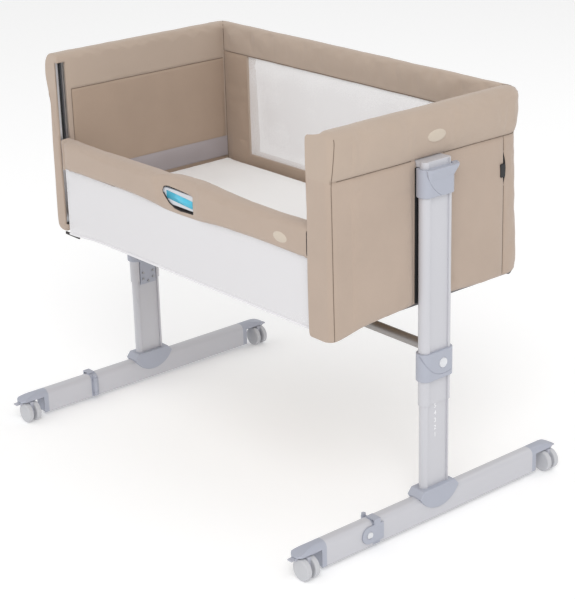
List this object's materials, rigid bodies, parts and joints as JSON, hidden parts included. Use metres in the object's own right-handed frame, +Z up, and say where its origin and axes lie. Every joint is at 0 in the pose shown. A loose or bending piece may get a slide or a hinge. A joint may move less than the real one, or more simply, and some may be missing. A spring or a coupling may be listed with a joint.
{
  "type": "bassinet on stand",
  "caption": "Bedside bassinet with padded rim, mesh windows, mattress and a lowering front rail, on telescopic T-shaped legs with folding feet and swivel casters.",
  "frame": {"origin": "on the floor, under the middle of the feet", "axes": "+Z up, +X along the crib towards its right-hand end seen from the open front, +Y from the open front to the back"},
  "size_m": [0.9523, 0.685, 0.784],
  "materials": {
    "white_enamel": "satin powder coat",
    "blue_grey_plastic": "fine satin",
    "button_plastic": "satin",
    "caster_plastic": "satin",
    "wheel_plastic": "satin",
    "screw_steel": "satin",
    "bar_steel": "satin",
    "frame_steel": "satin",
    "rim_fabric": "plain weave",
    "end_fabric": "plain weave",
    "white_mesh": "open mesh",
    "board": "plain board",
    "mattress_fabric": "soft knit",
    "black_trim": "matte",
    "track_aluminium": "satin anodised",
    "rail_fabric": "plain weave",
    "grip_plastic": "satin"
  },
  "bodies": {
    "crib": {"sleeve_tube_left": "white_enamel", "sleeve_tube_right": "white_enamel", "hanger_left": "white_enamel", "hanger_right": "white_enamel", "top_cap_left": "blue_grey_plastic", "top_cap_right": "blue_grey_plastic", "height_collar_left": "blue_grey_plastic", "height_collar_right": "blue_grey_plastic", "collar_screws": "screw_steel", "cross_bar": "bar_steel", "crib_frame": "frame_steel", "rim_band": "rim_fabric", "end_panel_left": "end_fabric", "end_panel_right": "end_fabric", "back_panel": "end_fabric", "back_mesh": "white_mesh", "mattress_board": "board", "mattress": "mattress_fabric", "front_tracks": "track_aluminium", "corner_flap": "end_fabric", "buckle": "black_trim", "post_strips": "black_trim", "front_mesh": "white_mesh"},
    "lever_left": {"release_lever_left": "blue_grey_plastic"},
    "button_left": {"height_button_left": "button_plastic"},
    "leg_left": {"leg_tube_left": "white_enamel", "saddle_left": "blue_grey_plastic", "foot_beam_left": "white_enamel", "rear_cap_left": "blue_grey_plastic", "fold_plate_left": "blue_grey_plastic"},
    "arm_left": {"arm_beam_left": "white_enamel", "front_cap_left": "blue_grey_plastic", "arm_knuckle_left": "blue_grey_plastic"},
    "latch_left": {"latch_button_left": "button_plastic"},
    "swivel_front_left": {"caster_fork_front_left": "caster_plastic"},
    "wheels_front_left": {"caster_wheels_front_left": "wheel_plastic"},
    "brake_front_left": {"brake_lever_front_left": "caster_plastic"},
    "swivel_rear_left": {"caster_fork_rear_left": "caster_plastic"},
    "wheels_rear_left": {"caster_wheels_rear_left": "wheel_plastic"},
    "brake_rear_left": {"brake_lever_rear_left": "caster_plastic"},
    "lever_right": {"release_lever_right": "blue_grey_plastic"},
    "button_right": {"height_button_right": "button_plastic"},
    "leg_right": {"leg_tube_right": "white_enamel", "saddle_right": "blue_grey_plastic", "foot_beam_right": "white_enamel", "rear_cap_right": "blue_grey_plastic", "fold_plate_right": "blue_grey_plastic"},
    "arm_right": {"arm_beam_right": "white_enamel", "front_cap_right": "blue_grey_plastic", "arm_knuckle_right": "blue_grey_plastic"},
    "latch_right": {"latch_button_right": "button_plastic"},
    "swivel_front_right": {"caster_fork_front_right": "caster_plastic"},
    "wheels_front_right": {"caster_wheels_front_right": "wheel_plastic"},
    "brake_front_right": {"brake_lever_front_right": "caster_plastic"},
    "swivel_rear_right": {"caster_fork_rear_right": "caster_plastic"},
    "wheels_rear_right": {"caster_wheels_rear_right": "wheel_plastic"},
    "brake_rear_right": {"brake_lever_rear_right": "caster_plastic"},
    "rail": {"rail_bar": "track_aluminium", "rail_pad": "rail_fabric"},
    "rail_grip": {"rail_handle": "grip_plastic"}
  },
  "joints": [
    {"name": "release_left", "type": "hinge", "parent": "crib", "child": "lever_left", "pos_m": [-0.465, 0.0385, 0.692], "axis": [1, 0, 0], "range_deg": [0, 8], "stiffness_Nm_per_rad": 2},
    {"name": "height_button_left", "type": "slide", "parent": "crib", "child": "button_left", "axis": [1, 0, 0], "range_m": [0, 0.003], "stiffness_N_per_m": 400, "springref_m": -0.001},
    {"name": "height_left", "type": "slide", "parent": "crib", "child": "leg_left", "axis": [0, 0, 1], "range_m": [0, 0.15]},
    {"name": "foot_fold_left", "type": "hinge", "parent": "leg_left", "child": "arm_left", "pos_m": [-0.4315, -0.1495, 0.033], "axis": [0, 0, 1], "range_deg": [0, 90]},
    {"name": "fold_latch_left", "type": "slide", "parent": "leg_left", "child": "latch_left", "axis": [1, 0, 0], "range_m": [0, 0.003], "stiffness_N_per_m": 400, "springref_m": -0.001},
    {"name": "swivel_front_left", "type": "hinge", "parent": "arm_left", "child": "swivel_front_left", "pos_m": [-0.45, -0.3125, 0.044], "axis": [0, 0, 1], "continuous": true},
    {"name": "roll_front_left", "type": "hinge", "parent": "swivel_front_left", "child": "wheels_front_left", "pos_m": [-0.4395, -0.3125, 0.021], "axis": [0, 1, 0], "continuous": true},
    {"name": "brake_front_left", "type": "hinge", "parent": "swivel_front_left", "child": "brake_front_left", "pos_m": [-0.45, -0.332, 0.0415], "axis": [1, 0, 0], "range_deg": [0, 15]},
    {"name": "swivel_rear_left", "type": "hinge", "parent": "leg_left", "child": "swivel_rear_left", "pos_m": [-0.45, 0.3125, 0.044], "axis": [0, 0, 1], "continuous": true},
    {"name": "roll_rear_left", "type": "hinge", "parent": "swivel_rear_left", "child": "wheels_rear_left", "pos_m": [-0.4395, 0.3125, 0.021], "axis": [0, 1, 0], "continuous": true},
    {"name": "brake_rear_left", "type": "hinge", "parent": "swivel_rear_left", "child": "brake_rear_left", "pos_m": [-0.45, 0.332, 0.0415], "axis": [-1, 0, 0], "range_deg": [0, 15]},
    {"name": "release_right", "type": "hinge", "parent": "crib", "child": "lever_right", "pos_m": [0.465, 0.0385, 0.692], "axis": [1, 0, 0], "range_deg": [0, 8], "stiffness_Nm_per_rad": 2},
    {"name": "height_button_right", "type": "slide", "parent": "crib", "child": "button_right", "axis": [-1, 0, 0], "range_m": [0, 0.003], "stiffness_N_per_m": 400, "springref_m": -0.001},
    {"name": "height_right", "type": "slide", "parent": "crib", "child": "leg_right", "axis": [0, 0, 1], "range_m": [0, 0.15]},
    {"name": "foot_fold_right", "type": "hinge", "parent": "leg_right", "child": "arm_right", "pos_m": [0.4315, -0.1495, 0.033], "axis": [0, 0, -1], "range_deg": [0, 90]},
    {"name": "fold_latch_right", "type": "slide", "parent": "leg_right", "child": "latch_right", "axis": [-1, 0, 0], "range_m": [0, 0.003], "stiffness_N_per_m": 400, "springref_m": -0.001},
    {"name": "swivel_front_right", "type": "hinge", "parent": "arm_right", "child": "swivel_front_right", "pos_m": [0.45, -0.3125, 0.044], "axis": [0, 0, 1], "continuous": true},
    {"name": "roll_front_right", "type": "hinge", "parent": "swivel_front_right", "child": "wheels_front_right", "pos_m": [0.4605, -0.3125, 0.021], "axis": [0, 1, 0], "continuous": true},
    {"name": "brake_front_right", "type": "hinge", "parent": "swivel_front_right", "child": "brake_front_right", "pos_m": [0.45, -0.332, 0.0415], "axis": [1, 0, 0], "range_deg": [0, 15]},
    {"name": "swivel_rear_right", "type": "hinge", "parent": "leg_right", "child": "swivel_rear_right", "pos_m": [0.45, 0.3125, 0.044], "axis": [0, 0, 1], "continuous": true},
    {"name": "roll_rear_right", "type": "hinge", "parent": "swivel_rear_right", "child": "wheels_rear_right", "pos_m": [0.4605, 0.3125, 0.021], "axis": [0, 1, 0], "continuous": true},
    {"name": "brake_rear_right", "type": "hinge", "parent": "swivel_rear_right", "child": "brake_rear_right", "pos_m": [0.45, 0.332, 0.0415], "axis": [-1, 0, 0], "range_deg": [0, 15]},
    {"name": "rail_slide", "type": "slide", "parent": "crib", "child": "rail", "axis": [0, 0, 1], "range_m": [0, 0.16], "deforming": ["front_mesh"]},
    {"name": "grip_squeeze", "type": "slide", "parent": "rail", "child": "rail_grip", "axis": [0, 0, 1], "range_m": [0, 0.004], "stiffness_N_per_m": 500, "springref_m": -0.001}
  ]
}
